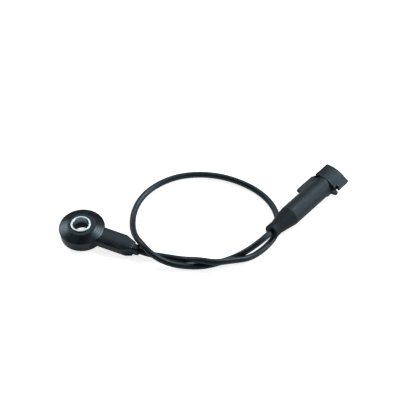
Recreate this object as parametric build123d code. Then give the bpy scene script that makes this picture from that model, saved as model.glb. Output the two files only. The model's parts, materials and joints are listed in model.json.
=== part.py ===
from build123d import *
from math import cos, radians, sin, tan
import os

# Ring-type engine knock sensor: a moulded head clamped by one bolt, a cable and an inline plug.
# Lengths are in millimetres and angles in degrees.
# The origin is the centre of the bolt bore at the steel contact face.
# +Z runs up the bore and +X runs along the arm to the cable.

# Fits
fit_gap = 0.05  # between round pieces that go one inside another
wire_room = 0.3  # round the loose pieces in the arm

# Pressure sleeve
bolt_bore_radius = 4.2
sleeve_wall = 1.1
sleeve_height = 9.05
sleeve_lead_in = 0.35
sleeve_crown = 0.45
flange_radius = 9.6
flange_thickness = 1.2

# Sensing stack, from the flange upwards
tube_wall = 0.35
disc_radius = 8.6
insulator_thickness = 0.3
contact_thickness = 0.3
piezo_thickness = 1.8
mass_radius = 9.0
mass_height = 1.9
mass_chamfer = 0.3
spring_height = 0.6
spring_thickness = 0.35
nut_radius = 8.0
nut_height = 1.0
nut_slot_length = 1.2
nut_slot_width = 1.4
nut_slot_depth = 0.5
nut_slots = 4
nut_slot_turn = 45.0  # clear of the arm

# Contact tabs, crimps, cores and resistor in the arm
tab_width = 1.6
tab_spacing = 4.4
tab_reach = 16.0
crimp_radius = 0.8
crimp_length = 2.6
crimp_foot_width = 1.2
core_radius = 0.6
conductor_radius = 0.4
core_spacing = 1.3
core_bend = 3.0
core_turn_in = 6.0
resistor_radius = 0.7
resistor_length = 2.2
resistor_place = 11.6
lead_radius = 0.22
lead_bend = 0.44

# Moulded head
head_offset = 0.5  # the moulding is deeper on the arm's side of the bore
head_radius = 12.1
base_radius = 11.5
rim_height = 6.9
crown_radius = 7.3
crown_height = 8.4
rim_round = 0.5
crown_round = 1.8
base_round = 0.8
face_proud = 0.2  # how far the steel face stands below the moulding

# Arm and cable collar
arm_half_width = 5.3
arm_base_half_width = 3.9
arm_root_height = 6.6
arm_end_height = 6.3
arm_crown = 0.5  # rise of the top between its shoulders
arm_edge_round = 0.5
arm_straight = 24.0
arm_length = 30.5
arm_end_half_width = 2.5
collar_radius = 2.4
collar_length = 3.2
collar_edge = 0.3
cable_height = 3.0

# Cable
cable_radius = 1.65
cable_bend_share = 0.45  # of the shorter run at each corner
cable_lead = 6.0  # straight out of the arm
plug_lead = 7.8  # straight into the plug

# Plug, measured from the rear of its boot to the mouth
plug_x = 93.0
plug_y = 35.15
plug_heading = 72.05  # from +X towards +Y
plug_droop = 1.3  # the boot lies on the cable and the hood on the surface
plug_roll = 8.0  # the stiff cable holds the plug up on one edge of its hood
boot_collar_radius = 3.95
boot_collar_length = 3.5
boot_neck_radius = 3.65
boot_length = 15.1
boot_wall = 1.2
boot_edge = 0.4
spigot_length = 3.0
spigot_radius = 4.2
barrel_radius = 5.65
barrel_length = 29.7
rib_length = 13.0
rib_stand = 2.45
rib_height = 2.2
rib_edge = 0.3
hood_length = 10.2
hood_half_width = 6.5  # at its shoulders
hood_foot_half_width = 4.6  # its sides draw in towards the foot
hood_top = 5.9
hood_shoulder = 4.4
hood_bottom = 6.2
hood_edge = 0.4  # the upper edges are nearly sharp
hood_corner = 1.5
hood_inside_corner = 0.9
hood_wall = 1.3
hood_floor = 1.5
rail_reach = 8.6  # from the plug's axis
rail_top = 3.7
rail_height = 2.0
rail_setback = 2.4
fin_reach = 9.0  # from the plug's axis
fin_slope = 2.2  # length of the fin's rear ramp
fin_flat = 1.0
fin_foot = 2.0  # length of the fin where it meets the hood
fin_rise = 1.0  # its middle stands above the plug's axis
fin_height = 2.0

# Plug inner pieces
seal_radius = 3.45
seal_length = 6.0
seal_groove = 0.35
seal_bands = 5  # lands and grooves in turn
socket_radius = 4.4
socket_depth = 6.8
lock_thickness = 1.6
terminal_spacing = 4.0
terminal_radius = 1.3
terminal_length = 11.0
terminal_crimp_radius = 1.0
terminal_crimp_length = 4.0
pin_radius = 0.75
pin_length = 10.5
pin_tip = 0.9
pin_tip_radius = 0.4

# Heights and radii that follow from the sizes above
sleeve_radius = bolt_bore_radius + sleeve_wall
tube_radius = sleeve_radius + fit_gap + tube_wall
stack_bore = tube_radius + fit_gap
lower_contact_z = flange_thickness + insulator_thickness
piezo_z = lower_contact_z + contact_thickness
upper_contact_z = piezo_z + piezo_thickness
upper_insulator_z = upper_contact_z + contact_thickness
mass_z = upper_insulator_z + insulator_thickness
spring_z = mass_z + mass_height
nut_z = spring_z + spring_height
stack_top = nut_z + nut_height
outlet_x = arm_length + collar_length
outlet = Vector(outlet_x, 0, cable_height)
trim_reach = 2 * (outlet_x + head_radius)  # past all that is trimmed
channel_floor = lower_contact_z
channel_roof = upper_insulator_z + wire_room
channel_half_width = tab_spacing / 2 + crimp_radius + wire_room
hood_start = boot_length + barrel_length
plug_length = hood_start + hood_length
seal_start = boot_length + spigot_length - seal_length / 2
seal_end = seal_start + seal_length
socket_floor = hood_start + hood_floor - socket_depth
pin_start = socket_floor
terminal_start = pin_start - terminal_length
crimp_start = terminal_start - terminal_crimp_length
corner_side = (hood_foot_half_width - hood_corner) * sin(radians(plug_roll))
corner_drop = (hood_bottom - hood_corner) * cos(radians(plug_roll))
hood_low = corner_side + corner_drop + hood_corner
plug_z = plug_length * sin(radians(plug_droop)) + hood_low * cos(radians(plug_droop))
plug_rear = Vector(plug_x, plug_y, plug_z)
plug_place = Pos(*plug_rear) * Rot(0, 0, plug_heading) * Rot(0, plug_droop, 0) * Rot(plug_roll, 0, 0)

# Route of the cable from the arm to the plug, round one loop.
# It leaves the arm under the loop, climbs over its own last stretch and passes under the boot.
cable_points = [
    outlet,
    outlet + Vector(cable_lead, 0, 0),
    (47.4, 2.6, 2.0),
    (56.0, 4.6, 1.65),
    (65.1, 4.9, 5.6),
    (73.4, 6.8, 5.4),
    (81.0, 13.1, 3.6),
    (87.4, 19.7, 1.65),
    (92.4, 28.3, 1.65),
    (94.6, 38.2, 1.65),
    (92.8, 48.4, 1.65),
    (86.5, 57.3, 1.65),
    (77.3, 63.5, 1.65),
    (65.8, 66.6, 1.65),
    (53.1, 66.9, 1.65),
    (41.0, 63.8, 1.65),
    (30.0, 57.3, 1.65),
    (22.1, 47.5, 1.65),
    (18.1, 36.2, 1.65),
    (18.5, 25.1, 1.65),
    (21.8, 15.9, 1.65),
    (27.2, 7.7, 4.2),
    (33.9, 1.8, 7.4),
    (41.7, -2.2, 6.8),
    (50.4, -2.1, 3.7),
    (59.3, 1.2, 1.65),
    (67.9, 5.0, 1.65),
    (74.5, 11.0, 1.65),
    (80.4, 17.4, 1.65),
    (85.6, 22.5, 5.3),
    (plug_place * Pos(-plug_lead, 0, 0)).position,
    plug_rear,
]


def turned(points):
    """Solid turned about Z from an outline of (radius, height) points."""
    outline = [Vector(r, 0, z) for r, z in points]
    return revolve(make_face(Polyline(*outline, close=True)), Axis.Z)


def puck(radius, bottom, height):
    """Round disc about Z."""
    return extrude(Pos(0, 0, bottom) * Circle(radius), height)


def washer(inner, outer, bottom, height):
    """Flat ring about Z."""
    return puck(outer, bottom, height) - puck(inner, bottom, height)


def rod(start, end, radius):
    """Round rod along X, between two places on the axis."""
    return extrude(Pos(start, 0, 0) * (Plane.YZ * Circle(radius)), end - start)


def on_floor(length, width, height):
    """Block that starts at X = 0 and stands on Z = 0."""
    return Box(length, width, height, align=(Align.MIN, Align.CENTER, Align.MIN))


def swept_wire(points, radius, bend):
    """Round wire along straight runs joined by arcs."""
    path = FilletPolyline(*points, radius=bend)
    return sweep(Plane(path @ 0, z_dir=path % 0) * Circle(radius), path=path)


def pressure_sleeve():
    """Steel sleeve with a base flange; its crown is the bright ring on top."""
    tube = washer(bolt_bore_radius, sleeve_radius, 0, sleeve_height)
    flange = washer(bolt_bore_radius, flange_radius, 0, flange_thickness)
    crown = tube.edges().filter_by(GeomType.CIRCLE).group_by(Axis.Z)[-1].sort_by(SortBy.RADIUS)
    tube = chamfer(crown[0], sleeve_lead_in)
    outer = tube.edges().filter_by(GeomType.CIRCLE).group_by(Axis.Z)[-1].sort_by(SortBy.RADIUS)
    tube = fillet(outer[-1], sleeve_crown)
    return tube + flange


def contact_disc(bottom, side):
    """Brass pick-up disc with a tab on one side of the arm."""
    ring = washer(stack_bore, disc_radius, bottom, contact_thickness)
    tab_start = (stack_bore + disc_radius) / 2
    tab = on_floor(tab_reach - tab_start, tab_width, contact_thickness)
    return ring + Pos(tab_start, side * tab_spacing / 2, bottom) * tab


def seismic_mass():
    """Steel ring that presses on the stack, with its outer edges broken."""
    ring = washer(sleeve_radius + fit_gap, mass_radius, mass_z, mass_height)
    rims = ring.edges().filter_by(GeomType.CIRCLE).group_by(SortBy.RADIUS)[-1]
    return chamfer(rims, mass_chamfer)


def disc_spring():
    """Conical washer, seated at its rim and pressed at its bore."""
    bore = sleeve_radius + fit_gap
    rim = nut_radius
    low_bore = spring_z + spring_height - spring_thickness
    outline = [(bore, low_bore), (bore, nut_z), (rim, spring_z + spring_thickness), (rim, spring_z)]
    return turned(outline)


def clamp_nut():
    """Ring nut on the sleeve, with slots for a pin wrench."""
    ring = washer(sleeve_radius + fit_gap, nut_radius, nut_z, nut_height)
    slot = Box(2 * nut_slot_length, nut_slot_width, 2 * nut_slot_depth)
    for number in range(nut_slots):
        turn = nut_slot_turn + number * 360 / nut_slots
        ring -= Rot(0, 0, turn) * Pos(nut_radius, 0, stack_top) * slot
    return ring


def crimp_height(side):
    """Centre of a crimp: under the upper tab on the signal side, on the lower tab on the other."""
    if side > 0:
        return upper_contact_z - crimp_radius
    return piezo_z + crimp_radius


def tab_crimp(side):
    """Crimp barrel with a flat foot on its tab."""
    start = tab_reach - crimp_length
    barrel = rod(start, tab_reach, crimp_radius)
    foot = on_floor(crimp_length, crimp_foot_width, crimp_radius)
    foot_low = 0 if side > 0 else -crimp_radius
    barrel += Pos(start, 0, foot_low) * foot
    barrel -= rod(start, tab_reach, conductor_radius + fit_gap)
    return Pos(0, side * tab_spacing / 2, crimp_height(side)) * barrel


def arm_wire(side):
    """Insulated core from its crimp to the cable's end, bared inside the crimp."""
    height = crimp_height(side)
    wide = side * tab_spacing / 2
    close = side * core_spacing / 2
    turn_start = tab_reach + core_bend
    points = [
        (tab_reach + fit_gap, wide, height),
        (turn_start, wide, height),
        (turn_start + core_turn_in, close, cable_height),
        (outlet_x, close, cable_height),
    ]
    bared = rod(tab_reach - crimp_length, tab_reach + core_radius, conductor_radius)
    return swept_wire(points, core_radius, core_bend) + Pos(0, wide, height) * bared


def bleed_resistor():
    """Small resistor across the tabs, with a lead to each."""
    middle = (piezo_z + upper_contact_z) / 2
    reach = tab_spacing / 2
    body = Rot(0, 0, 90) * rod(-resistor_length / 2, resistor_length / 2, resistor_radius)
    rise = upper_contact_z - middle
    points = [(0, -reach, -rise), (0, -reach, 0), (0, reach, 0), (0, reach, rise)]
    lead = swept_wire(points, lead_radius, lead_bend)
    return Pos(resistor_place, 0, middle) * (body + lead)


def head_body():
    """Ring head: side wall, sharp rim and a low cone up to a flat crown."""
    outline = [
        (0, face_proud),
        (base_radius, face_proud),
        (head_radius, rim_height),
        (crown_radius, crown_height),
        (0, crown_height),
    ]
    face = make_face(Polyline(*[Vector(r, 0, z) for r, z in outline], close=True))
    rim = face.vertices().sort_by_distance((head_radius, 0, rim_height))[0]
    face = fillet(rim, rim_round)
    base = face.vertices().sort_by_distance((base_radius, 0, face_proud))[0]
    face = fillet(base, base_round)
    crown = face.vertices().sort_by_distance((crown_radius, 0, crown_height))[0]
    face = fillet(crown, crown_round)
    return Pos(head_offset, 0, 0) * revolve(face, Axis.Z)


def arm_section(place, top):
    """Cross-section of the arm: flat base, walls with draft and a crowned top."""
    shoulder = top - arm_crown
    low = Vector(place, -arm_base_half_width, face_proud)
    wall = Vector(place, -arm_half_width, shoulder)
    crest = Vector(place, 0, top)
    far_wall = Vector(place, arm_half_width, shoulder)
    far_low = Vector(place, arm_base_half_width, face_proud)
    sides = Polyline(far_wall, far_low, low, wall)
    return make_face(sides + ThreePointArc(wall, crest, far_wall))


def arm_body():
    """Arm with a crowned top, cut to a taper at its end, and the round cable collar."""
    root = base_radius - arm_half_width
    bar = loft([arm_section(root, arm_root_height), arm_section(arm_length, arm_end_height)])
    plan = [
        (root, -arm_half_width),
        (arm_straight, -arm_half_width),
        (arm_length, -arm_end_half_width),
        (arm_length, arm_end_half_width),
        (arm_straight, arm_half_width),
        (root, arm_half_width),
    ]
    arm = bar & extrude(make_face(Polyline(*plan, close=True)), trim_reach)
    upper = arm.faces().filter_by(lambda face: face.center().Z > arm_end_height / 2).sort_by(Axis.Z)[-1]
    outer = upper.edges().filter_by(lambda edge: edge.center().X > base_radius)
    arm = fillet(outer, arm_edge_round)
    collar = rod(arm_length - collar_length, outlet_x, collar_radius)
    collar = fillet(collar.edges().group_by(Axis.X)[-1], collar_edge)
    collar = Pos(0, 0, cable_height) * collar
    below = Box(trim_reach, trim_reach, trim_reach, align=(Align.CENTER, Align.CENTER, Align.MAX))
    return arm + (collar - Pos(0, 0, face_proud) * below)


def head_cavity():
    """Room for the stack, the sleeve and its flange."""
    flange_room = puck(flange_radius + fit_gap, -face_proud, flange_thickness + face_proud)
    disc_room = puck(disc_radius + fit_gap, 0, mass_z)
    mass_room = puck(mass_radius + fit_gap, mass_z, spring_z - mass_z)
    nut_room = puck(nut_radius + fit_gap, spring_z, stack_top - spring_z)
    sleeve_room = puck(sleeve_radius + fit_gap, 0, trim_reach)
    return flange_room + disc_room + mass_room + nut_room + sleeve_room


def arm_channel():
    """Room in the arm for the tabs, crimps and cores, with a slot out through the collar."""
    core_half = core_spacing / 2 + core_radius + fit_gap
    wide_end = tab_reach + core_bend + wire_room
    narrow_end = wide_end + core_turn_in
    plan = [
        (stack_bore, -channel_half_width),
        (wide_end, -channel_half_width),
        (narrow_end, -core_half),
        (narrow_end, core_half),
        (wide_end, channel_half_width),
        (stack_bore, channel_half_width),
    ]
    room = extrude(make_face(Polyline(*plan, close=True)), channel_roof - channel_floor)
    room = Pos(0, 0, channel_floor) * room
    slot = extrude(Plane.YZ * SlotOverall(2 * core_half, 2 * (core_radius + fit_gap)), outlet_x)
    before_tabs = Box(trim_reach, trim_reach, trim_reach, align=(Align.MAX, Align.CENTER, Align.CENTER))
    slot -= Pos(tab_reach, 0, 0) * before_tabs
    return room + Pos(0, 0, cable_height) * slot


def sensor_housing():
    """Moulding of the head, the arm and the collar round all that it holds."""
    return head_body() + arm_body() - head_cavity() - arm_channel()


def bend_radii(points, share):
    """Largest arc that fits each corner, taking the given share of the shorter run."""
    corners = [Vector(point) for point in points]
    radii = []
    for before, corner, after in zip(corners, corners[1:], corners[2:]):
        run_in = corner - before
        run_out = after - corner
        half_turn = radians(run_in.get_angle(run_out)) / 2
        radii.append(share * min(run_in.length, run_out.length) / tan(half_turn))
    return radii


def cable():
    """Round cable along its route, as straight runs joined by tangent arcs."""
    radii = bend_radii(cable_points, cable_bend_share)
    path = FilletPolyline(*cable_points, radius=radii)
    tube = sweep(Plane(path @ 0, z_dir=path % 0) * Circle(cable_radius), path=path)
    expected = Circle(cable_radius).area * path.length
    print("cable bend radii", [round(radius, 1) for radius in radii])
    print("cable length", round(path.length, 1))
    print("cable volume ratio", round(tube.volume / expected, 4))
    return tube


def rear_boot():
    """Tapered rubber boot, hollow, with a collar at the cable end."""
    bore = core_spacing / 2 + core_radius + fit_gap
    recess_start = boot_length - spigot_length
    outside = [
        (0, 0),
        (boot_collar_radius, 0),
        (boot_collar_radius, boot_collar_length),
        (boot_neck_radius, boot_collar_length),
        (barrel_radius, boot_length),
        (0, boot_length),
    ]
    slope = (barrel_radius - boot_neck_radius) / (boot_length - boot_collar_length)
    hollow_end = boot_neck_radius + slope * (recess_start - boot_collar_length) - boot_wall
    inside = [
        (0, boot_collar_length),
        (bore, boot_collar_length),
        (hollow_end, recess_start),
        (0, recess_start),
    ]
    boot = turned(outside)
    boot = fillet(boot.edges().filter_by(GeomType.CIRCLE).group_by(Axis.Z)[0], boot_edge)
    boot -= puck(bore, 0, boot_collar_length)
    boot -= turned(inside)
    boot -= puck(spigot_radius + fit_gap, recess_start, spigot_length)
    return Rot(0, 90, 0) * boot


def hood_section(inset, corner):
    """Cross-section of the hood, inset by a wall: a flat foot, sides with draft and an arched top."""
    half = hood_half_width - inset
    foot = hood_foot_half_width - inset
    low = -hood_bottom + inset
    shoulder = hood_shoulder - inset
    crest = hood_top - inset
    sides = Polyline((half, shoulder), (foot, low), (-foot, low), (-half, shoulder))
    face = make_face(sides + ThreePointArc((-half, shoulder), (0, crest), (half, shoulder)))
    face = fillet(face.vertices().group_by(Axis.Y)[0], corner)
    return fillet(face.vertices().group_by(Axis.Y)[-1], hood_edge)


def across(start, section, length):
    """Extrude a section drawn across the plug, from a place along its axis."""
    return extrude(Pos(start, 0, 0) * (Plane.YZ * section), length)


def key_rail():
    """Rail along the right shoulder of the hood; its top runs on from the arch."""
    section = [
        (0, hood_shoulder),
        (-hood_half_width, hood_shoulder),
        (-rail_reach, rail_top),
        (-rail_reach, rail_top - rail_height),
        (0, rail_top - rail_height),
    ]
    start = hood_start + rail_setback
    return across(start, make_face(Polyline(*section, close=True)), hood_length - rail_setback)


def locking_fin():
    """Hook-shaped fin on the right, with a ramp at its rear."""
    ramp_start = hood_start - fin_slope
    foot_end = hood_start + fin_foot
    plan = [
        (ramp_start, 0),
        (ramp_start, fin_rise - barrel_radius),
        (hood_start, -fin_reach),
        (hood_start + fin_flat, -fin_reach),
        (foot_end, -hood_half_width),
        (foot_end, 0),
    ]
    fin = extrude(make_face(Polyline(*plan, close=True)), fin_height / 2, both=True)
    return Pos(0, 0, fin_rise) * fin


def plug_outside():
    """Barrel with its spigot, key rib, locking fin, hood and key rail."""
    barrel = rod(boot_length - spigot_length, boot_length, spigot_radius)
    barrel += rod(boot_length, hood_start + hood_floor, barrel_radius)
    rib_reach = barrel_radius + rib_stand
    rib = Box(rib_length, rib_reach, rib_height, align=(Align.MAX, Align.MIN, Align.CENTER))
    rib = fillet(rib.edges().filter_by(Axis.X).group_by(Axis.Y)[-1], rib_edge)
    barrel += Pos(hood_start, 0, 0) * rib
    hood = across(hood_start, hood_section(0, hood_corner), hood_length)
    ends = hood.faces().filter_by(Axis.X)
    barrel += fillet(ends.edges(), hood_edge / 2)
    return barrel + key_rail() + locking_fin()


def connector_housing():
    """Plug moulding with its seal bore, terminal channels, socket and hood recess."""
    body = plug_outside()
    body -= rod(boot_length - spigot_length, seal_end, seal_radius)
    channel = rod(seal_end, pin_start, terminal_radius + fit_gap)
    for side in (1, -1):
        body -= Pos(0, side * terminal_spacing / 2, 0) * channel
    body -= rod(socket_floor, hood_start + hood_floor, socket_radius)
    body -= across(hood_start + hood_floor, hood_section(hood_wall, hood_inside_corner), hood_length)
    return body


def cable_seal():
    """Rubber plug with grooves round it and a hole for each core."""
    ring_radius = seal_radius - fit_gap
    seal = rod(seal_start, seal_end, ring_radius)
    band = seal_length / seal_bands
    for number in range(1, seal_bands, 2):
        groove = rod(0, band, ring_radius) - rod(0, band, ring_radius - seal_groove)
        seal -= Pos(seal_start + number * band, 0, 0) * groove
    for side in (1, -1):
        seal -= Pos(0, side * terminal_spacing / 2, 0) * rod(seal_start, seal_end, core_radius + fit_gap)
    return seal


def terminal(side):
    """Pin terminal: crimp, body and a pin with a tapered tip."""
    tip_start = pin_start + pin_length - pin_tip
    piece = rod(terminal_start, pin_start, terminal_radius)
    piece += rod(crimp_start, terminal_start, terminal_crimp_radius)
    piece += rod(pin_start, tip_start, pin_radius)
    tip = Cone(pin_radius, pin_tip_radius, pin_tip, align=(Align.CENTER, Align.CENTER, Align.MIN))
    piece += Pos(tip_start, 0, 0) * Rot(0, 90, 0) * tip
    piece -= rod(crimp_start, terminal_start, conductor_radius + fit_gap)
    return Pos(0, side * terminal_spacing / 2, 0) * piece


def terminal_lock():
    """Disc on the floor of the socket, round the pins."""
    disc = rod(socket_floor, socket_floor + lock_thickness, socket_radius - fit_gap)
    for side in (1, -1):
        hole = rod(socket_floor, socket_floor + lock_thickness, pin_radius + fit_gap)
        disc -= Pos(0, side * terminal_spacing / 2, 0) * hole
    return disc


def plug_wire(side):
    """Insulated core from the cable's end through the seal into its terminal."""
    close = side * core_spacing / 2
    wide = side * terminal_spacing / 2
    spread_end = boot_length - spigot_length
    bare_start = crimp_start - fit_gap
    points = [(0, close, 0), (boot_collar_length, close, 0), (spread_end, wide, 0), (bare_start, wide, 0)]
    bared = rod(bare_start - core_radius, terminal_start, conductor_radius)
    return swept_wire(points, core_radius, core_bend) + Pos(0, wide, 0) * bared


stack_below_mass = mass_z - flange_thickness

head_nodes = {
    "sensor_housing": sensor_housing(),
    "pressure_sleeve": pressure_sleeve(),
    "insulating_tube": washer(sleeve_radius + fit_gap, tube_radius, flange_thickness, stack_below_mass),
    "lower_insulator": washer(stack_bore, disc_radius, flange_thickness, insulator_thickness),
    "lower_contact_disc": contact_disc(lower_contact_z, -1),
    "piezo_ring": washer(stack_bore, disc_radius, piezo_z, piezo_thickness),
    "upper_contact_disc": contact_disc(upper_contact_z, 1),
    "upper_insulator": washer(stack_bore, disc_radius, upper_insulator_z, insulator_thickness),
    "seismic_mass": seismic_mass(),
    "disc_spring": disc_spring(),
    "clamp_nut": clamp_nut(),
    "bleed_resistor": bleed_resistor(),
    "signal_crimp": tab_crimp(1),
    "ground_crimp": tab_crimp(-1),
    "signal_wire": arm_wire(1),
    "ground_wire": arm_wire(-1),
    "cable": cable(),
}

plug_nodes = {
    "rear_boot": rear_boot(),
    "connector_housing": connector_housing(),
    "cable_seal": cable_seal(),
    "terminal_lock": terminal_lock(),
    "signal_terminal": terminal(1),
    "ground_terminal": terminal(-1),
    "plug_signal_wire": plug_wire(1),
    "plug_ground_wire": plug_wire(-1),
}

os.makedirs("parts", exist_ok=True)
for name, piece in head_nodes.items():
    export_step(piece, f"parts/{name}.step")
for name, piece in plug_nodes.items():
    export_step(plug_place * piece, f"parts/{name}.step")
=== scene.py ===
# %% [markdown]
# # An engine knock sensor
# A ring-shaped sensor is bolted to an engine block. It hears knocking through its steel sleeve
# and sends the signal down a short cable to a plug. This lesson dresses the measured parts:
# it gives each one its finish, lays the cable as one smooth line and lights the set.
# Everything is in metres, with the bolt bore standing on the origin and the arm along +X.

# %% Load the measured parts
import bpy
import bmesh
import json
from math import cos, pi, radians, sin
from mathutils import Matrix, Vector


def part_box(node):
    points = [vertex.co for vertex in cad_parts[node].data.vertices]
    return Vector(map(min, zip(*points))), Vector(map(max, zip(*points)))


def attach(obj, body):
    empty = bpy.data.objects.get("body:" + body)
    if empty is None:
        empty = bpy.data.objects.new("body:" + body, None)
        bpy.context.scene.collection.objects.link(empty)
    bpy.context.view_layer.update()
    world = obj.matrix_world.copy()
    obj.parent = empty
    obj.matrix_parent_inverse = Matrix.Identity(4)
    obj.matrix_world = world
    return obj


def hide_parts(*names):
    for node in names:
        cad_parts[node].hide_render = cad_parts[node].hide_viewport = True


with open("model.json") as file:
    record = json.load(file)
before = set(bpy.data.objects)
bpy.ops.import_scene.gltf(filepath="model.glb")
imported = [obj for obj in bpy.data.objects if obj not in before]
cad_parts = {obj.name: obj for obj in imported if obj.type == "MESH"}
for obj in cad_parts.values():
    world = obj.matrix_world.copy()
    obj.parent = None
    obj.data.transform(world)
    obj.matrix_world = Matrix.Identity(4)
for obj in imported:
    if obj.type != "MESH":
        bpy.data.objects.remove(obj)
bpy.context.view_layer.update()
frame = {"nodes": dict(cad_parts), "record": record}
nodes = frame["nodes"]
mm = 0.001
print("parts", len(nodes))

# %% [markdown]
# ## The camera
# The sensor was photographed from well above, with a long lens, so there is little perspective.
# A camera is placed by its eye and the point it looks at, because those two can be measured,
# while its turn cannot. The picture is square. A small helper puts each thing into the scene at
# the origin; only the camera and the lamps are moved afterwards.

# %% Place the camera
eye = Vector((0.2068, -0.3194, 0.4520))
target = Vector((0.0474, 0.0473, 0.0))
lens_length = 100.0
sensor_width = 36.0


def placed(name, data):
    """Object at the origin that shows some data, linked into the scene."""
    thing = bpy.data.objects.new(name, data)
    bpy.context.scene.collection.objects.link(thing)
    return thing


camera_data = bpy.data.cameras.new("camera")
camera_data.lens = lens_length
camera_data.sensor_width = sensor_width
camera_data.sensor_fit = "HORIZONTAL"
camera = placed("camera", camera_data)
camera.location = eye
camera.rotation_euler = (target - eye).to_track_quat("-Z", "Y").to_euler()
bpy.context.scene.camera = camera
print("camera distance", round((target - eye).length, 3))

# %% [markdown]
# ## Room for new finishes
# The measured parts come with plain placeholder finishes under the names that the record gives
# them. A second finish of the same name would get a number after it, so the placeholders go
# first and free the names.

# %% Clear the placeholder finishes
for placeholder in list(bpy.data.materials):
    bpy.data.materials.remove(placeholder)
print("materials left", len(bpy.data.materials))

# %% [markdown]
# ## Helpers for every node
# Finishes and shapes are both trees of nodes. Adding a node takes the same three steps each time:
# make it, set its options, then give each input a value or another node's output. One helper, add,
# does all three, so that a tree reads as a list of what it does. The last step alone is feed, for a
# node that is already there, and sums is short for a Math node.

# %% Helpers for nodes
def feed(tree, node, inputs):
    """Gives a node's inputs a value each, or another node's output."""
    for key, value in inputs.items():
        if isinstance(value, bpy.types.NodeSocket):
            tree.links.new(value, node.inputs[key])
        else:
            node.inputs[key].default_value = value


def add(tree, kind, inputs, **settings):
    """New node with its settings and inputs."""
    node = tree.nodes.new(kind)
    for setting, value in settings.items():
        setattr(node, setting, value)
    feed(tree, node, inputs)
    return node


def sums(tree, operation, *terms):
    """Output of a Math node."""
    return add(tree, "ShaderNodeMath", dict(enumerate(terms)), operation=operation).outputs[0]


print("made feed, add and sums")

# %% [markdown]
# ## Patterns, tones and bumps
# A finish could be painted as a picture, but a pattern that is worked out has no seams and stays
# sharp close up. Most finishes need the same three things: a pattern that is fixed to the object,
# a colour that wanders a little with it, and a bump that follows it. Noise seldom reaches 0 or 1,
# so its middle is spread over the whole range.

# %% Helpers for finishes
noise_low, noise_high = 0.3, 0.7
tone_low, tone_high = 0.35, 0.65


def new_finish(name):
    """Empty finish; returns the material, its tree and its shader."""
    material = bpy.data.materials.new(name)
    material.use_nodes = True
    tree = material.node_tree
    return material, tree, tree.nodes["Principled BSDF"]


def object_place(tree):
    """The place on the object, in metres."""
    return add(tree, "ShaderNodeTexCoord", {}).outputs["Object"]


def noise(tree, place, size, detail=3.0):
    """Noise whose grains are about the given size in metres."""
    return add(tree, "ShaderNodeTexNoise", {
        "Vector": place, "Scale": 1.0 / size, "Detail": detail}).outputs["Fac"]


def ranged(tree, value, start, end, low=0.0, high=1.0):
    """A value moved from one range onto another, and held at both ends."""
    return add(tree, "ShaderNodeMapRange", {
        "Value": value, "From Min": start, "From Max": end,
        "To Min": low, "To Max": high}).outputs["Result"]


def spread(tree, factor, low, high):
    """The middle of a noise, spread over a range of values."""
    return ranged(tree, factor, noise_low, noise_high, low, high)


def tint(tree, factor, dark, light):
    """Colour that wanders from one tone to another with a factor."""
    ramp = add(tree, "ShaderNodeValToRGB", {"Fac": factor})
    for stop, position, tone in zip(ramp.color_ramp.elements, (tone_low, tone_high), (dark, light)):
        stop.position = position
        stop.color = (*tone, 1)
    return ramp.outputs["Color"]


def bump(tree, shader, height, depth, under=None):
    """Bump of a depth in metres, over an earlier normal if one is given; returns the normal."""
    inputs = {"Height": height, "Distance": depth}
    if under:
        inputs["Normal"] = under
    normal = add(tree, "ShaderNodeBump", inputs).outputs["Normal"]
    feed(tree, shader, {"Normal": normal})
    return normal


print("noise spread from", noise_low, "to", noise_high)

# %% [markdown]
# ## Edges and turned faces
# No real edge is perfectly sharp. The Bevel node turns the normal over a small radius, which
# catches a line of light. Where that normal and the surface's own one disagree there is an edge,
# so the same node also tells where edges get a paler tone: partly wear from handling, partly a
# painted highlight. Rings about the bore's axis stand for the marks of a lathe, and the distance
# from that axis tells where a turned face ends.

# %% Helpers for edges and rings
edge_samples = 6
flat_match, edge_match = 0.99, 0.86


def soft_edges(tree, radius):
    """Normal that turns over a small radius at each edge, and a factor that is 1 along the edges."""
    rounded = add(tree, "ShaderNodeBevel", {"Radius": radius}, samples=edge_samples).outputs["Normal"]
    surface = add(tree, "ShaderNodeNewGeometry", {}).outputs["Normal"]
    match = add(tree, "ShaderNodeVectorMath", {0: rounded, 1: surface}, operation="DOT_PRODUCT")
    return rounded, ranged(tree, match.outputs["Value"], flat_match, edge_match)


def mixed(tree, factor, first, second):
    """Colour that goes from the first to the second with a factor."""
    return add(tree, "ShaderNodeMix", {
        "Factor": factor, "A": first, "B": second}, data_type="RGBA").outputs["Result"]


def turned_rings(tree, place, ring, wander):
    """Rings about the Z axis, as a lathe leaves them."""
    return add(tree, "ShaderNodeTexWave", {
        "Vector": place, "Scale": 1.0 / ring, "Distortion": wander},
        wave_type="RINGS", rings_direction="Z").outputs["Fac"]


def from_axis(tree, place):
    """Distance from the Z axis."""
    flat = add(tree, "ShaderNodeVectorMath", {0: place, 1: (1, 1, 0)}, operation="MULTIPLY")
    return add(tree, "ShaderNodeVectorMath", {
        0: flat.outputs["Vector"]}, operation="LENGTH").outputs["Value"]


print("edges looked at with", edge_samples, "samples")

# %% [markdown]
# ## Black mouldings
# The head and the plug are glass-filled nylon: black with a cold cast, satin, with a fine spark
# texture from the mould and a slight waviness where the walls shrank. The colour wanders where
# the filler lies nearer the surface, and edges are a little paler, partly from rubbing and partly as
# a painted highlight along them. One black with one gloss would look like a drawing, so each of
# these gets its own size, in millimetres.

# %% What every moulding shares
cold_gloss = (0.66, 0.87, 1.0, 1)
# Paler tone along edges: partly wear from handling, partly a painted highlight.
rubbed_and_highlit_tone = (0.060, 0.074, 0.084, 1)
edge_radius = 0.18 * mm
rubbed_and_highlit_patch = 2 * mm
rubbed_and_highlit_least, rubbed_and_highlit_most = 0.2, 0.9
shrink_wave = 9 * mm
shrink_depth = 0.05 * mm
print("edge radius", round(edge_radius / mm, 2), "mm, rubbed patches", round(rubbed_and_highlit_patch / mm, 1), "mm")

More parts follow.
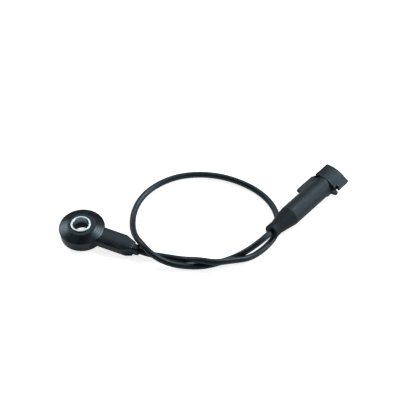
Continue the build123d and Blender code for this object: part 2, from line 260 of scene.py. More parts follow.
# %% [markdown]
# The mould for the head was turned on a lathe, so its cone also shows faint rings about the bore.
# They end at the rim, because an arm can't be turned, so they are multiplied by a mask that
# falls from 1 to 0 there.

# %% Rings of a turned mould
mould_ring = 3.5 * mm
mould_ring_depth = 0.016 * mm
mould_ring_wander = 1.5
rings_reach = 12.2 * mm
rings_fade = 0.5 * mm


def mould_rings(tree, place):
    """Faint rings about the bore that fade out at the head's rim."""
    rings = turned_rings(tree, place, mould_ring, mould_ring_wander)
    within = ranged(tree, from_axis(tree, place), rings_reach, rings_reach - rings_fade)
    return sums(tree, "MULTIPLY", rings, within)


print("rings reach", round(rings_reach / mm, 1), "mm from the axis")

# %% [markdown]
# Bumps could be added up before they reach the shader, but each has its own depth. So every bump
# node takes the normal of the one before: the rounded edge first, then the waviness, the rings
# where there are any, and the grain on top.

# %% Moulded plastic
def moulded_plastic(name, dark, light, rough_low, rough_high, mottle, grain, grain_depth,
                    refraction=1.5, turned=False):
    """Satin moulding with a mottled tone, a fine grain, edges paled by rubbing and by a painted
    highlight, and, if turned, its rings.
    """
    material, tree, shader = new_finish(name)
    place = object_place(tree)
    cloud = noise(tree, place, mottle, detail=5.0)
    rounded, edge = soft_edges(tree, edge_radius)
    patches = spread(tree, noise(tree, place, rubbed_and_highlit_patch), rubbed_and_highlit_least, rubbed_and_highlit_most)
    # Edges get the paler tone in random patches: partly wear, partly a painted highlight.
    rubbed_and_highlit = sums(tree, "MULTIPLY", edge, patches)
    feed(tree, shader, {
        "Base Color": mixed(tree, rubbed_and_highlit, tint(tree, cloud, dark, light), rubbed_and_highlit_tone),
        "Roughness": spread(tree, cloud, rough_low, rough_high),
        "IOR": refraction, "Specular Tint": cold_gloss})
    under = bump(tree, shader, noise(tree, place, shrink_wave, detail=0.0), shrink_depth, rounded)
    if turned:
        under = bump(tree, shader, mould_rings(tree, place), mould_ring_depth, under)
    bump(tree, shader, noise(tree, place, grain, detail=2.0), grain_depth, under)
    return material


print("made moulded_plastic")

# %% [markdown]
# The head comes out of a polished mould and is the glossiest. The plug is coarser and duller, its
# boot is soft rubber with the least gloss of all, and the lock inside the plug is grey.

# %% The four mouldings
housing_plastic = moulded_plastic(
    "housing_plastic", (0.003, 0.004, 0.006), (0.009, 0.012, 0.015), 0.21, 0.31,
    mottle=5 * mm, grain=0.25 * mm, grain_depth=0.012 * mm, turned=True)
connector_plastic = moulded_plastic(
    "connector_plastic", (0.002, 0.003, 0.004), (0.015, 0.020, 0.025), 0.42, 0.64,
    mottle=1.1 * mm, grain=0.60 * mm, grain_depth=0.045 * mm)
boot_rubber = moulded_plastic(
    "boot_rubber", (0.002, 0.003, 0.004), (0.009, 0.012, 0.014), 0.46, 0.64,
    mottle=1.1 * mm, grain=0.50 * mm, grain_depth=0.035 * mm, refraction=1.38)
lock_plastic = moulded_plastic(
    "lock_plastic", (0.05, 0.05, 0.055), (0.08, 0.08, 0.085), 0.40, 0.50,
    mottle=3 * mm, grain=0.25 * mm, grain_depth=0.010 * mm)
print("mouldings", housing_plastic.name, connector_plastic.name, boot_rubber.name, lock_plastic.name)

# %% [markdown]
# ## Turned and plated metal
# The sleeve is turned from free-cutting steel and zinc plated, so it is bright with fine rings
# about its axis. The steel pieces inside the head are left grey. Real grooves would take millions
# of faces, and a bump gives the same streaks of light.

# %% Turned metal
turned_wander = 0.6
turned_cloud = 2.5 * mm


def turned_metal(name, colour, rough_low, rough_high, ring, ring_depth):
    """Metal with fine rings about the bore's axis."""
    material, tree, shader = new_finish(name)
    place = object_place(tree)
    feed(tree, shader, {
        "Base Color": (*colour, 1), "Metallic": 1.0,
        "Roughness": spread(tree, noise(tree, place, turned_cloud), rough_low, rough_high)})
    bump(tree, shader, turned_rings(tree, place, ring, turned_wander), ring_depth)
    return material


bright_steel = (0.76, 0.90, 0.96)
sleeve_steel = turned_metal("sleeve_steel", bright_steel, 0.30, 0.42, 6 * mm, 0.006 * mm)
mass_steel = turned_metal("mass_steel", (0.42, 0.42, 0.43), 0.35, 0.50, 8 * mm, 0.008 * mm)
print("turned metals", sleeve_steel.name, mass_steel.name)

# %% [markdown]
# Light hardly reaches into a narrow bore, so its wall gets painted shade, darker with depth. The wall
# could get a finish of its own, but then the change would be a hard line. Instead two masks find it,
# one by its distance from the axis and one by its height. Multiplied, they paint the shade on little by
# little.

# %% The sleeve's bore and its painted shade
# Colour of the painted shade deep in the bore.
bore_shade_colour = (0.03, 0.04, 0.055)
bore_radius = 4.2 * mm
wall_from, wall_to = 0.35 * mm, 0.08 * mm
bore_shade_from = 8.2 * mm
bore_shade_depth = 3.4 * mm


def paint_bore_shade(material):
    """Paints shade onto a metal inside the bore, darker with depth."""
    tree = material.node_tree
    place = object_place(tree)
    height = add(tree, "ShaderNodeSeparateXYZ", {"Vector": place}).outputs["Z"]
    on_wall = ranged(tree, from_axis(tree, place), bore_radius + wall_from, bore_radius + wall_to)
    deep = ranged(tree, height, bore_shade_from, bore_shade_from - bore_shade_depth)
    # Both masks together: where the painted shade falls on the bore's wall.
    both = sums(tree, "MULTIPLY", on_wall, deep)
    feed(tree, tree.nodes["Principled BSDF"], {
        "Base Color": mixed(tree, both, (*bright_steel, 1), (*bore_shade_colour, 1))})


paint_bore_shade(sleeve_steel)
print("bore dulls over", round(bore_shade_depth / mm, 1), "mm")

# %% [markdown]
# Brass contacts and tinned pins are stamped from strip. Rolling leaves no rings, only a faint
# cloudiness, so these need nothing but a wandering tone and gloss.

# %% Plain metals
strip_cloud = 1.5 * mm


def plain_metal(name, dark, light, rough_low, rough_high):
    """Rolled or plated metal with a faint cloudy tone."""
    material, tree, shader = new_finish(name)
    cloud = noise(tree, object_place(tree), strip_cloud)
    feed(tree, shader, {
        "Base Color": tint(tree, cloud, dark, light), "Metallic": 1.0,
        "Roughness": spread(tree, cloud, rough_low, rough_high)})
    return material


contact_brass = plain_metal("contact_brass", (0.62, 0.44, 0.16), (0.74, 0.55, 0.24), 0.25, 0.40)
terminal_tin = plain_metal("terminal_tin", (0.34, 0.34, 0.33), (0.46, 0.46, 0.45), 0.36, 0.50)
print("plain metals", contact_brass.name, terminal_tin.name)

# %% [markdown]
# ## The pieces inside
# These are closed in by the mouldings, but they get true finishes too: an amber film, a fired
# ceramic, a lacquered resistor, coloured core insulation and a red silicone seal. All of them are
# even materials, so one function makes them from a list, with a cloud of its own size for each.

# %% Inner finishes
inner_bump = 0.01 * mm


def even_finish(name, dark, light, rough, size):
    """Non-metal with a cloudy tone."""
    material, tree, shader = new_finish(name)
    cloud = noise(tree, object_place(tree), size)
    feed(tree, shader, {"Base Color": tint(tree, cloud, dark, light), "Roughness": rough})
    bump(tree, shader, cloud, inner_bump)
    return material


inner_finishes = [even_finish(*values) for values in (
    ("insulator_film", (0.42, 0.20, 0.04), (0.52, 0.28, 0.07), 0.35, 3 * mm),
    ("piezo_ceramic", (0.55, 0.52, 0.42), (0.64, 0.61, 0.52), 0.60, 0.5 * mm),
    ("resistor_body", (0.10, 0.22, 0.34), (0.14, 0.28, 0.40), 0.25, 1 * mm),
    ("signal_insulation", (0.55, 0.54, 0.50), (0.62, 0.61, 0.57), 0.45, 2 * mm),
    ("ground_insulation", (0.06, 0.035, 0.02), (0.08, 0.05, 0.03), 0.45, 2 * mm),
    ("seal_rubber", (0.34, 0.06, 0.02), (0.42, 0.09, 0.03), 0.50, 2 * mm))]
print("inner finishes", len(inner_finishes))

# %% [markdown]
# ## Giving the parts their finishes
# Each measured part names its finish in the record, so the finishes are handed out by that name.
# Only the cable gets none here, because a smoother piece takes its place.

# %% Hand out the finishes
finishes = {finish.name: finish for finish in inner_finishes + [
    housing_plastic, connector_plastic, boot_rubber, lock_plastic,
    sleeve_steel, mass_steel, contact_brass, terminal_tin]}
for part in frame["record"]["subparts"]:
    mesh = nodes[part["node"]].data
    mesh.materials.clear()
    if part["material_slot"] in finishes:
        mesh.materials.append(finishes[part["material_slot"]])
finished = [name for name, node in nodes.items() if node.data.materials]
print("finished parts", len(finished), "of", len(nodes))

# %% [markdown]
# ## The cable
# A cable this thin bends in long even curves. Its route is a short list of given points,
# and a smooth curve runs near them: straight out of the arm, under its own return and then over
# it, under the boot, once round the loop, back over the collar and up into the boot.

# %% The cable's route
cable_diameter = 0.0033
cable_route = [
    (0.0337, 0.0, 0.003),
    (0.0397, 0.0, 0.003),
    (0.0474, 0.0026, 0.002),
    (0.056, 0.0046, 0.00165),
    (0.0651, 0.0049, 0.0056),
    (0.0734, 0.0068, 0.0054),
    (0.081, 0.0129, 0.0040),
    (0.0877, 0.0194, 0.00165),
    (0.0923, 0.0283, 0.00165),
    (0.0946, 0.0382, 0.00165),
    (0.0928, 0.0484, 0.00165),
    (0.0865, 0.0573, 0.00165),
    (0.0773, 0.0635, 0.00165),
    (0.0658, 0.0666, 0.00165),
    (0.0531, 0.0669, 0.00165),
    (0.041, 0.0638, 0.00165),
    (0.03, 0.0573, 0.00165),
    (0.0221, 0.0475, 0.00165),
    (0.0181, 0.0362, 0.00165),
    (0.0185, 0.0251, 0.00165),
    (0.0218, 0.0159, 0.00165),
    (0.0272, 0.0077, 0.0042),
    (0.0339, 0.0018, 0.0074),
    (0.0417, -0.0022, 0.0068),
    (0.0504, -0.0021, 0.0037),
    (0.0593, 0.0012, 0.00165),
    (0.068, 0.005, 0.00165),
    (0.0747, 0.0108, 0.00165),
    (0.0806, 0.0172, 0.00165),
    (0.0861, 0.0223, 0.0047),
    (0.09101, 0.02901, 0.00798),
    (0.093, 0.03515, 0.00783),
]
print("route points", len(cable_route))

# %% [markdown]
# A Bezier line would pass through every point and wobble with each small error. The points steer a
# NURBS spline instead, which cuts smoothly inside its corners, as a springy cable does. Blender
# then gives the line itself as a row of points, and everything that follows the cable follows it.

# %% The cable's smooth line
line_steps = 24
line_order = 3

route_data = bpy.data.curves.new("cable_route", "CURVE")
route_data.dimensions = "3D"
route_data.resolution_u = line_steps
spline = route_data.splines.new("NURBS")
spline.points.add(len(cable_route) - 1)
for point, place in zip(spline.points, cable_route):
    point.co = (*place, 1.0)
spline.order_u = line_order
spline.use_endpoint_u = True
route_object = placed("cable_route", route_data)
bpy.context.view_layer.update()
evaluated = route_object.evaluated_get(bpy.context.evaluated_depsgraph_get())
route_mesh = bpy.data.meshes.new_from_object(evaluated)
centre_line = [vertex.co.copy() for vertex in route_mesh.vertices]
bpy.data.objects.remove(route_object)
cable_length = sum((b - a).length for a, b in zip(centre_line, centre_line[1:]))
print("cable", round(cable_length, 4), "m along", len(centre_line), "points")

# %% [markdown]
# A curve's own bevel could thicken the line, but a tube of rings that is built by hand has UVs that
# count in metres, so that a finish can run lengthwise along it. Each ring's sideways direction is
# carried on from the ring before, so the tube never twists.

# %% A tube along the line
cable_sides = 28


def piece_of(name, shape):
    """Mesh piece made from a bmesh, which is freed."""
    mesh = bpy.data.meshes.new(name)
    shape.to_mesh(mesh)
    shape.free()
    return placed(name, mesh)


def tube(name, line, radius, sides):
    """Closed tube along a line, with UVs: U runs round it and V runs along it, in metres."""
    shape = bmesh.new()
    uv_layer = shape.loops.layers.uv.new("along")
    across = (line[1] - line[0]).normalized().orthogonal().normalized()
    angles = [2 * pi * side / sides for side in range(sides)]
    rings, travelled, distance = [], [], 0.0
    for number, place in enumerate(line):
        before = line[max(number - 1, 0)]
        after = line[min(number + 1, len(line) - 1)]
        heading = (after - before).normalized()
        across = (across - heading * across.dot(heading)).normalized()
        up = heading.cross(across)
        if number:
            distance += (place - line[number - 1]).length
        travelled.append(distance)
        rings.append([shape.verts.new(place + radius * (cos(angle) * across + sin(angle) * up))
                      for angle in angles])
    for number in range(len(rings) - 1):
        for side in range(sides):
            following = (side + 1) % sides
            face = shape.faces.new((
                rings[number][side], rings[number][following],
                rings[number + 1][following], rings[number + 1][side]))
            face.smooth = True
            turns = (side, side + 1, side + 1, side)
            steps = (number, number, number + 1, number + 1)
            for loop, turn, step in zip(face.loops, turns, steps):
                loop[uv_layer].uv = (turn / sides, travelled[step])
    shape.faces.new(list(reversed(rings[0])))
    shape.faces.new(rings[-1])
    return piece_of(name, shape)


cable = tube("cable_jacket", centre_line, cable_diameter / 2, cable_sides)
print("cable faces", len(cable.data.polygons))

# %% [markdown]
# The jacket is extruded PVC. The die leaves faint lines along it, and handling leaves it a little
# duller in places. A pattern fixed to the object would cut straight across the bends, so the lines
# follow the tube's own UVs: the noise is fine round the tube and long along it.

# %% The jacket's finish
lines_round = 60.0
lines_each_metre = 60.0
line_depth = 0.02 * mm
jacket_cloud = 7 * mm


def jacket_finish(name):
    """Extruded jacket with faint lengthwise lines."""
    material, tree, shader = new_finish(name)
    along = add(tree, "ShaderNodeUVMap", {}, uv_map="along").outputs["UV"]
    stretched = add(tree, "ShaderNodeMapping", {
        "Vector": along, "Scale": (lines_round, lines_each_metre, 1.0)}).outputs["Vector"]
    cloud = noise(tree, object_place(tree), jacket_cloud)
    feed(tree, shader, {
        "Base Color": tint(tree, cloud, (0.008, 0.011, 0.013), (0.016, 0.021, 0.025)),
        "Roughness": spread(tree, cloud, 0.30, 0.42), "Specular Tint": cold_gloss})
    bump(tree, shader, noise(tree, stretched, size=1.0, detail=2.0), line_depth)
    return material


cable.data.materials.append(jacket_finish("cable_jacket"))
print("jacket lines", lines_round, "round the cable")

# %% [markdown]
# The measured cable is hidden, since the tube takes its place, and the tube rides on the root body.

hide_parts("cable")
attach(cable, "root")

# %% [markdown]
# ## Pieces that follow a rule
# Geometry Nodes suit a shape that can be said in one sentence, such as a profile turned round an
# axis or a bead that runs along a line. The trees are built here in code. Three more helpers keep
# that readable: one makes a tree with its named sizes, one ends it, and one turns the result into
# a plain mesh, so that nothing live is left on the piece.

# %% Helpers for geometry trees
weld_gap = 1e-7


def new_tree(name, sizes):
    """Tree with a geometry in and out and an input for each size; returns it and the inputs."""
    tree = bpy.data.node_groups.new(name, "GeometryNodeTree")
    for direction in ("OUTPUT", "INPUT"):
        tree.interface.new_socket("Geometry", in_out=direction, socket_type="NodeSocketGeometry")
    for size, value in sizes.items():
        kind = {float: "NodeSocketFloat", int: "NodeSocketInt"}.get(type(value), "NodeSocketMaterial")
        if isinstance(value, bpy.types.Object):
            kind = "NodeSocketObject"
        tree.interface.new_socket(size, in_out="INPUT", socket_type=kind)
    return tree, tree.nodes.new("NodeGroupInput").outputs


def finish_tree(tree, geometry, finish):
    """End of a tree: no instances are left, and the finish is set."""
    real = add(tree, "GeometryNodeRealizeInstances", {"Geometry": geometry}).outputs[0]
    dressed = add(tree, "GeometryNodeSetMaterial", {"Geometry": real, "Material": finish}).outputs[0]
    add(tree, "NodeGroupOutput", {0: dressed})


def grown(name, tree, source, sizes):
    """Plain mesh piece that a tree grows from a source object; the source is removed."""
    modifier = source.modifiers.new(name, "NODES")
    modifier.node_group = tree
    for item in tree.interface.items_tree:
        if item.item_type == "SOCKET" and item.in_out == "INPUT" and item.name in sizes:
            modifier[item.identifier] = sizes[item.name]
    bpy.context.view_layer.update()
    ready = source.evaluated_get(bpy.context.evaluated_depsgraph_get())
    mesh = bpy.data.meshes.new_from_object(ready)
    mesh.name = name
    bpy.data.objects.remove(source)
    shape = bmesh.new()
    shape.from_mesh(mesh)
    bmesh.ops.remove_doubles(shape, verts=shape.verts, dist=weld_gap)
    bmesh.ops.recalc_face_normals(shape, faces=shape.faces)
    if shape.calc_volume(signed=True) < 0:
        bmesh.ops.reverse_faces(shape, faces=shape.faces)
    for face in shape.faces:
        face.smooth = True
    shape.to_mesh(mesh)
    shape.free()
    return placed(name, mesh)


print("made new_tree, finish_tree and grown")

# %% [markdown]
# ## The pressure sleeve
# The steel sleeve lines the bolt hole and carries the sensor's whole load, so it is turned from
# bar: a bore, a wide foot that rests on the engine, a rounded top edge and a flare at each end of
# the bore. Cylinders could be cut from one another, but a turned piece is simply a profile and an
# angle, and a tree keeps every size of it named. The first half of the tree places the eight
# corners of the profile and rounds them.

# %% The sleeve's profile
sleeve_sizes = {
    "Bore": bore_radius, "Wall": 1.1 * mm, "Height": 9.05 * mm, "Foot Radius": 9.6 * mm,
    "Foot Height": 1.2 * mm, "Top Flare": 0.22 * mm, "Foot Flare": 0.9 * mm,
    "Crown Round": 0.22 * mm, "Edge Round": 0.10 * mm,
    "Mark Pitch": 0.55 * mm, "Mark Depth": 0.02 * mm,
    "Profile Steps": 260, "Turn Steps": 112, "Finish": sleeve_steel}
rounding_steps = 5


def sleeve_profile(tree, size):
    """Rounded ring of eight corners, with the radius along X and the height along Z."""
    outer = sums(tree, "ADD", size["Bore"], size["Wall"])
    flare_top = sums(tree, "ADD", size["Bore"], size["Top Flare"])
    flare_foot = sums(tree, "ADD", size["Bore"], size["Foot Flare"])
    below_top = sums(tree, "SUBTRACT", size["Height"], size["Top Flare"])
    corners = [
        (flare_foot, 0.0, size["Edge Round"]),
        (size["Foot Radius"], 0.0, size["Edge Round"]),
        (size["Foot Radius"], size["Foot Height"], size["Edge Round"]),
        (outer, size["Foot Height"], size["Edge Round"]),
        (outer, size["Height"], size["Crown Round"]),
        (flare_top, size["Height"], size["Edge Round"]),
        (size["Bore"], below_top, size["Edge Round"]),
        (size["Bore"], size["Foot Flare"], size["Edge Round"])]
    index = add(tree, "GeometryNodeInputIndex", {}).outputs[0]
    place = add(tree, "GeometryNodeIndexSwitch", {"Index": index}, data_type="VECTOR")
    rounding = add(tree, "GeometryNodeIndexSwitch", {"Index": index}, data_type="FLOAT")
    for switch in (place, rounding):
        while len(switch.index_switch_items) < len(corners):
            switch.index_switch_items.new()
    for number, (radius, height, round_size) in enumerate(corners):
        corner = add(tree, "ShaderNodeCombineXYZ", {"X": radius, "Z": height}).outputs[0]
        feed(tree, place, {number + 1: corner})
        feed(tree, rounding, {number + 1: round_size})
    points = add(tree, "GeometryNodePoints", {
        "Count": len(corners), "Position": place.outputs[0]}).outputs[0]
    line = add(tree, "GeometryNodePointsToCurves", {"Points": points, "Weight": index}).outputs[0]
    ring = add(tree, "GeometryNodeSetSplineCyclic", {"Geometry": line, "Cyclic": True}).outputs[0]
    return add(tree, "GeometryNodeFilletCurve", {
        "Curve": ring, "Count": rounding_steps, "Radius": rounding.outputs[0],
        "Limit Radius": True}, mode="POLY").outputs[0]


print("sleeve sizes", len(sleeve_sizes))

# %% [markdown]
# The second half walks along the profile with the rows of a grid and turns each row round the
# axis. A ripple on the bore's wall gives the marks that the tool leaves. Where the grid's ends
# meet, they are merged, so the sleeve is closed.

# %% Turn the sleeve
wall_slack = 0.001 * mm
seam_gap = 0.002 * mm


def turned_sleeve_tree(sizes):
    """Tree that turns the profile round the Z axis."""
    tree, size = new_tree("turned_sleeve", sizes)
    profile = sleeve_profile(tree, size)
    grid = add(tree, "GeometryNodeMeshGrid", {
        "Size X": 1.0, "Size Y": 1.0,
        "Vertices X": size["Profile Steps"], "Vertices Y": size["Turn Steps"]})
    position = add(tree, "GeometryNodeInputPosition", {}).outputs[0]
    spot = add(tree, "ShaderNodeSeparateXYZ", {"Vector": position}).outputs
    along = sums(tree, "ADD", spot["X"], 0.5)
    angle = sums(tree, "MULTIPLY", spot["Y"], 2 * pi)
    sample = add(tree, "GeometryNodeSampleCurve", {"Curves": profile, "Factor": along}, mode="FACTOR")
    walked = add(tree, "ShaderNodeSeparateXYZ", {"Vector": sample.outputs["Position"]}).outputs
    on_wall = sums(tree, "LESS_THAN", walked["X"], sums(tree, "ADD", size["Bore"], wall_slack))
    turns = sums(tree, "DIVIDE", walked["Z"], size["Mark Pitch"])
    wave = sums(tree, "SINE", sums(tree, "MULTIPLY", turns, 2 * pi))
    ripple = sums(tree, "MULTIPLY", sums(tree, "MULTIPLY", wave, size["Mark Depth"]), on_wall)
    radius = sums(tree, "ADD", walked["X"], ripple)
    turned_place = add(tree, "ShaderNodeCombineXYZ", {
        "X": sums(tree, "MULTIPLY", radius, sums(tree, "COSINE", angle)),
        "Y": sums(tree, "MULTIPLY", radius, sums(tree, "SINE", angle)),
        "Z": walked["Z"]}).outputs[0]
    turned = add(tree, "GeometryNodeSetPosition", {
        "Geometry": grid.outputs["Mesh"], "Position": turned_place}).outputs[0]
    closed = add(tree, "GeometryNodeMergeByDistance", {
        "Geometry": turned, "Distance": seam_gap}).outputs[0]
    finish_tree(tree, closed, size["Finish"])
    return tree


sleeve_source = placed("sleeve_source", bpy.data.meshes.new("sleeve_source"))
sleeve = grown("turned_sleeve", turned_sleeve_tree(sleeve_sizes), sleeve_source, sleeve_sizes)
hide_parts("pressure_sleeve")
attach(sleeve, "root")
low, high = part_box("pressure_sleeve")
print("sleeve faces", len(sleeve.data.polygons), "height", round((high - low).z / mm, 2), "mm")

# %% [markdown]
# ## Parting lines
# A moulding shows a hair-thin bead where the two halves of its mould met, at its widest outline.
# It could be a ring and some bars, but those would sink into a wall that leans. So the line is
# drawn roughly beside the moulding. The tree then cuts it into short steps, pulls each one onto
# the moulding's surface and runs a thin round bead along it, which follows the wall everywhere.

# %% The parting-line tree
bead_sizes = {
    "Moulding": nodes["sensor_housing"], "Bead Radius": 0.07 * mm, "Step": 0.4 * mm,
    "Bead Sides": 8, "Finish": housing_plastic}


def bead_tree(sizes):
    """Tree that pulls a line onto a moulding and runs a bead along it."""
    tree, size = new_tree("parting_bead", sizes)
    steps = add(tree, "GeometryNodeResampleCurve", {
        "Curve": size["Geometry"], "Length": size["Step"]}, mode="LENGTH").outputs[0]
    moulding = add(tree, "GeometryNodeObjectInfo", {
        "Object": size["Moulding"]}, transform_space="RELATIVE").outputs["Geometry"]
    nearest = add(tree, "GeometryNodeProximity", {
        "Target": moulding}, target_element="FACES").outputs["Position"]
    pulled = add(tree, "GeometryNodeSetPosition", {
        "Geometry": steps, "Position": nearest}).outputs[0]
    section = add(tree, "GeometryNodeCurvePrimitiveCircle", {
        "Resolution": size["Bead Sides"], "Radius": size["Bead Radius"]}, mode="RADIUS").outputs[0]
    bead = add(tree, "GeometryNodeCurveToMesh", {
        "Curve": pulled, "Profile Curve": section, "Fill Caps": True}).outputs[0]
    finish_tree(tree, bead, size["Finish"])
    return tree


parting_bead = bead_tree(bead_sizes)
print("bead nodes", len(parting_bead.nodes))

# %% [markdown]
# The rough line is a plain curve, which may have several separate runs. One tree serves every
# moulding, because the moulding and its finish are inputs too.

# %% Beads along rough lines
def line_source(name, lines):
    """Curve object of one or more lines, each of them straight runs through places."""
    data = bpy.data.curves.new(name, "CURVE")
    data.dimensions = "3D"
    for places in lines:
        run = data.splines.new("POLY")
        run.points.add(len(places) - 1)
        for point, place in zip(run.points, places):
            point.co = (*place, 1.0)
    return placed(name, data)


def parting_line(name, lines, moulding, slot):
    """Bead along lines on a moulding, with the finish of a slot, riding with the moulding."""
    sizes = dict(bead_sizes, Moulding=nodes[moulding], Finish=finishes[slot])
    bead = grown(name, parting_bead, line_source(name + "_line", lines), sizes)
    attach(bead, "root")
    return bead


print("bead radius", round(bead_sizes["Bead Radius"] / mm, 2), "mm")

# %% [markdown]
# The head's mould opens at its rim, and along the middle of the arm's sides. The three runs stop
# short of the corners between rim and arm, where a real bead is wiped off.

# %% The head's parting line
head_centre = Vector((0.5 * mm, 0, 0))
head_widest = 12.1 * mm
rim_level = 6.3 * mm
arm_level = 5.2 * mm
rim_starts = 30
rim_step = 4
arm_places = ((12.2 * mm, -5.3 * mm), (24.0 * mm, -5.3 * mm), (29.0 * mm, -3.3 * mm))

rim_line = []
for degrees in range(rim_starts, 361 - rim_starts, rim_step):
    turn = radians(degrees)
    rim_line.append(head_centre + Vector((head_widest * cos(turn), head_widest * sin(turn), rim_level)))
near_arm_line = [Vector((x, y, arm_level)) for x, y in arm_places]
far_arm_line = [Vector((x, -y, arm_level)) for x, y in arm_places]
head_bead = parting_line(
    "head_parting_line", [rim_line, near_arm_line, far_arm_line], "sensor_housing", "housing_plastic")
print("head bead faces", len(head_bead.data.polygons))

# %% [markdown]
# The plug's parting lines run along both sides of its barrel. Its place is known as a point and
# three turns, so lines and details are drawn along the plug's own axis and then moved there.

# %% The plug's parting lines
plug_heading, plug_droop, plug_roll = radians(72.05), radians(1.3), radians(8.0)
plug_place = (Matrix.Translation(cable_route[-1]) @ Matrix.Rotation(plug_heading, 4, "Z")
              @ Matrix.Rotation(plug_droop, 4, "Y") @ Matrix.Rotation(plug_roll, 4, "X"))
barrel_radius = 5.65 * mm
bead_from = 15.4 * mm
near_bead_to = 39.8 * mm
rear_bead_to = 31.5 * mm


def barrel_line(name, side, end):
    """Parting line along one side of the barrel."""
    line = [plug_place @ Vector((x, side * barrel_radius, 0)) for x in (bead_from, end)]
    return parting_line(name, [line], "connector_housing", "connector_plastic")


barrel_bead = barrel_line("barrel_parting_line", -1, near_bead_to)
rear_bead = barrel_line("barrel_rear_parting_line", 1, rear_bead_to)
print("plug bead faces", len(barrel_bead.data.polygons), len(rear_bead.data.polygons))

# %% [markdown]
# ## The arm's draw-in
# The arm doesn't end in a step: the moulding draws in from the arm's square end to the round
# collar that grips the cable. A cone would leave the square corners standing out, so a loft does
# it, with rings of points that start nearly square and end round. One number, the squareness,
# leads from one to the other: 2 gives an ellipse, and more gives squarer corners. The sides lean
# inwards at the foot as the arm's own sides do. The cable comes back right over this place, so the
# cell measures how near it passes.

# %% Loft the draw-in
draw_in_rings, draw_in_sides = 12, 48
arm_end = {"x": 30.3 * mm, "half width": 2.45 * mm, "half height": 2.72 * mm,
           "middle": 2.97 * mm, "squareness": 5.0, "lean": 0.24}
collar_end = {"x": 33.6 * mm, "half width": 2.46 * mm, "half height": 2.46 * mm,
              "middle": 3.0 * mm, "squareness": 2.0, "lean": 0.0}


def draw_in_ring(share, sides):
    """Places round the loft, a share of the way from the arm's end to the collar."""
    x, width, rise, middle, squareness, lean = (
        arm_end[key] + (collar_end[key] - arm_end[key]) * share for key in arm_end)
    places = []
    for side in range(sides):
        across, up = cos(2 * pi * side / sides), sin(2 * pi * side / sides)
        reach = (abs(across) ** squareness + abs(up) ** squareness) ** (-1 / squareness)
        narrowed = width * (1 - lean * (1 - up * reach) / 2)
        places.append((x, narrowed * across * reach, middle + rise * up * reach))
    return places


def loft(name, rings):
    """Closed mesh piece through rings of places."""
    shape = bmesh.new()
    loops = [[shape.verts.new(place) for place in ring] for ring in rings]
    for first, second in zip(loops, loops[1:]):
        for side in range(len(first)):
            following = (side + 1) % len(first)
            wall = shape.faces.new((first[side], first[following], second[following], second[side]))
            wall.smooth = True
    shape.faces.new(loops[0])
    shape.faces.new(loops[-1])
    bmesh.ops.recalc_face_normals(shape, faces=shape.faces)
    return piece_of(name, shape)


draw_in = loft("arm_draw_in", [
    draw_in_ring(ring / draw_in_rings, draw_in_sides) for ring in range(draw_in_rings + 1)])
draw_in.data.materials.append(housing_plastic)
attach(draw_in, "root")
returning = centre_line[len(centre_line) // 2:]
nearest = min((place - vertex.co).length for place in returning for vertex in draw_in.data.vertices)
print("draw-in faces", len(draw_in.data.polygons), "and the cable's middle passes at",
      round(nearest / mm, 2), "mm")

# %% [markdown]
# ## The rib's web
# The key rib doesn't stop at the hood: a short web carries it past the hood's rear corner. So
# small a piece needs no profile: a block between two corners, drawn in the plug's own frame, is
# enough, and its edges are rounded so that they catch the light as the rib's do.

# %% The rib's web
web_low = (44.2 * mm, 5.2 * mm, -1.05 * mm)
web_high = (46.4 * mm, 7.6 * mm, 1.05 * mm)
web_edge = 0.3 * mm
web_edge_steps = 3


def soft_block(name, low_corner, high_corner, edge, place_matrix):
    """Block between two corners of a frame, with rounded edges."""
    shape = bmesh.new()
    bmesh.ops.create_cube(shape, size=1.0)
    span = Vector(high_corner) - Vector(low_corner)
    centre = (Vector(high_corner) + Vector(low_corner)) / 2
    for vertex in shape.verts:
        vertex.co = Vector(a * b for a, b in zip(vertex.co, span)) + centre
    bmesh.ops.bevel(shape, geom=shape.edges, offset=edge, segments=web_edge_steps,
                    affect="EDGES", profile=0.5)
    shape.transform(place_matrix)
    for face in shape.faces:
        face.smooth = True
    return piece_of(name, shape)


web = soft_block("rib_web", web_low, web_high, web_edge, plug_place)
web.data.materials.append(connector_plastic)
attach(web, "root")
print("web faces", len(web.data.polygons))

# %% [markdown]
# ## The floor
# The set is a white sweep. The floor answers the camera with white where nothing shades it, and
# still takes the sensor's shadow, because part of its brightness is real light. In reflections it
# glows less, or every wall would shine. Further out, where the lamps fade, its own glow rises to
# full white, so no far edge shows. It lies a hair below the steel foot, because two faces in one
# plane flicker.

# %% The floor
floor_size = 3.0
floor_level = -0.05 * mm
floor_tone = 0.80
floor_rough = 0.9
floor_glow = 0.80
floor_glow_in_gloss = 0.18
glow_rises_from = 0.20
glow_full_at = 0.90


def floor_finish():
    """Pale floor that reads white to the camera and in reflections, and keeps a soft shadow."""
    material, tree, shader = new_finish("floor")
    distance = from_axis(tree, object_place(tree))
    glow_here = ranged(tree, distance, glow_rises_from, glow_full_at, floor_glow, 1.0)
    ray = add(tree, "ShaderNodeLightPath", {}).outputs
    glossy = sums(tree, "MULTIPLY", ray["Is Glossy Ray"], floor_glow_in_gloss)
    feed(tree, shader, {
        "Base Color": (floor_tone, floor_tone, floor_tone, 1),
        "Roughness": floor_rough, "Specular IOR Level": 0.0,
        "Emission Color": (1, 1, 1, 1),
        "Emission Strength": sums(tree, "MULTIPLY_ADD", ray["Is Camera Ray"], glow_here, glossy)})
    return material


half = floor_size / 2
floor_mesh = bpy.data.meshes.new("floor")
floor_mesh.from_pydata(
    [(x, y, floor_level) for x, y in ((-half, -half), (half, -half), (half, half), (-half, half))],
    [], [(0, 1, 2, 3)])
floor_mesh.materials.append(floor_finish())
floor = placed("floor", floor_mesh)
print("floor", floor_size, "m")

# %% [markdown]
# ## The light
# The photo has white all round, yet its black plastic isn't washed out. A white world alone would
# fill every shade with grey. So the world is white to the camera but gives the object only a
# little light, and the soft boxes draw the highlights.

# %% The world
world_light = 0.12

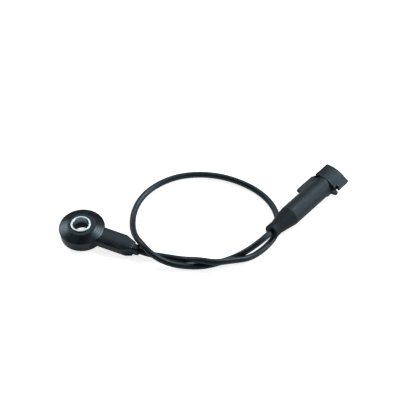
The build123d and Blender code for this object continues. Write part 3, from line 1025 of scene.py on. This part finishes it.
world = bpy.data.worlds.new("world")
world.use_nodes = True
bpy.context.scene.world = world
world_tree = world.node_tree
world_ray = add(world_tree, "ShaderNodeLightPath", {}).outputs
seen = sums(world_tree, "MAXIMUM", world_ray["Is Camera Ray"], world_ray["Is Transmission Ray"])
feed(world_tree, world_tree.nodes["Background"], {
    "Color": (1, 1, 1, 1), "Strength": ranged(world_tree, seen, 0.0, 1.0, world_light, 1.0)})
print("world light", world_light)

# %% [markdown]
# Each box hangs where a bright place on the sensor mirrors it: a highlight's place says where its
# lamp was, just as a billiard ball's bounce says where it came from. Small lamps would leave hard
# dots on a cone, so the boxes are a third to a half as wide as they are far away. Their light is a
# little cold, as the photo's is.

# %% The soft boxes
lamp_colour = (0.94, 0.98, 1.0)


def soft_box(name, azimuth, elevation, distance, width, height, power):
    """Rectangular lamp that faces the middle of the set from a direction in degrees."""
    lamp = bpy.data.lights.new(name, "AREA")
    lamp.shape = "RECTANGLE"
    lamp.size = width
    lamp.size_y = height
    lamp.energy = power
    lamp.color = lamp_colour
    flat = cos(radians(elevation))
    toward = Vector((flat * cos(radians(azimuth)), flat * sin(radians(azimuth)), sin(radians(elevation))))
    box = placed(name, lamp)
    box.location = target + distance * toward
    box.rotation_euler = (-toward).to_track_quat("-Z", "Y").to_euler()
    return box


soft_boxes = [
    soft_box("right_box", azimuth=66, elevation=55, distance=0.80, width=0.26, height=0.26, power=2.2),
    soft_box("side_box", azimuth=38, elevation=42, distance=0.80, width=0.28, height=0.28, power=1.7),
    soft_box("left_box", azimuth=162, elevation=38, distance=0.80, width=0.30, height=0.28, power=1.5),
    soft_box("low_box", azimuth=14, elevation=20, distance=0.80, width=0.32, height=0.24, power=1.5),
    soft_box("back_box", azimuth=118, elevation=48, distance=0.90, width=0.50, height=0.36, power=0.65)]
bpy.context.scene.view_settings.view_transform = "Standard"
print("soft boxes", len(soft_boxes))

# %% [markdown]
# ## The end
# Everything is dressed and lit.

# %% The end
print("scene dressed")
